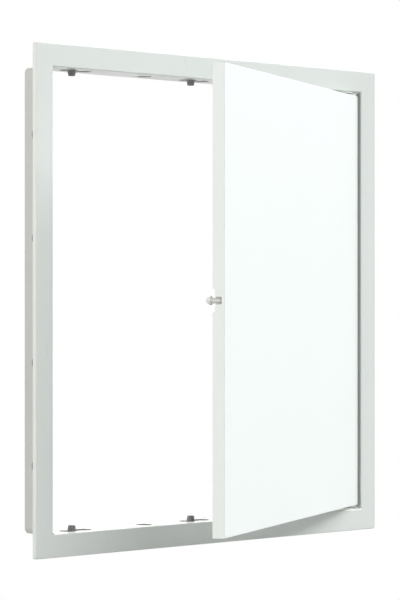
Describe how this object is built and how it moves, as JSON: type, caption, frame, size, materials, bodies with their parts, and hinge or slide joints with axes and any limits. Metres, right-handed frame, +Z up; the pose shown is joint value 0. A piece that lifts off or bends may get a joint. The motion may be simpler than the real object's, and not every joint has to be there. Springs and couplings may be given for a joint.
{
  "type": "access panel",
  "caption": "Square flush access panel for a wall: folded pan door on concealed vertical pivots, in a flanged frame with a deep sheet collar, stop clips and a snap latch.",
  "frame": {"origin": "on the wall's face, at the middle of the bottom flange's turned-in lip", "axes": "+Z up, +Y into the wall, +X to the right as seen from the front; the door is hinged at +X"},
  "size_m": [0.55, 0.2478, 0.55],
  "materials": {
    "frame_coat": "satin powder coat",
    "collar_coat": "satin powder coat",
    "door_coat": "satin powder coat",
    "clip_plastic": "moulded",
    "latch_plastic": "moulded",
    "pin_steel": "turned"
  },
  "bodies": {
    "frame": {"flange_top": "frame_coat", "flange_bottom": "frame_coat", "flange_left": "frame_coat", "flange_right": "frame_coat", "collar_top": "collar_coat", "collar_bottom": "collar_coat", "collar_left": "collar_coat", "collar_right": "collar_coat", "pivot_plate_top": "frame_coat", "pivot_plate_bottom": "frame_coat", "stop_clip_top_1": "clip_plastic", "stop_clip_top_2": "clip_plastic", "stop_clip_top_3": "clip_plastic", "stop_clip_bottom_1": "clip_plastic", "stop_clip_bottom_2": "clip_plastic", "stop_clip_bottom_3": "clip_plastic", "latch_keeper": "latch_plastic"},
    "door": {"door_skin": "door_coat", "door_rim_top": "door_coat", "door_rim_bottom": "door_coat", "door_rim_free": "door_coat", "door_rim_hinge": "door_coat", "pivot_block_top": "door_coat", "pivot_block_bottom": "door_coat", "pivot_pin_top": "pin_steel", "pivot_pin_bottom": "pin_steel", "latch_holder": "clip_plastic", "latch_peg": "latch_plastic"}
  },
  "joints": [
    {"name": "door_hinge", "type": "hinge", "parent": "frame", "child": "door", "pos_m": [0.239, 0, 0.27], "axis": [0, 0, 1], "range_deg": [-25, 75]}
  ]
}
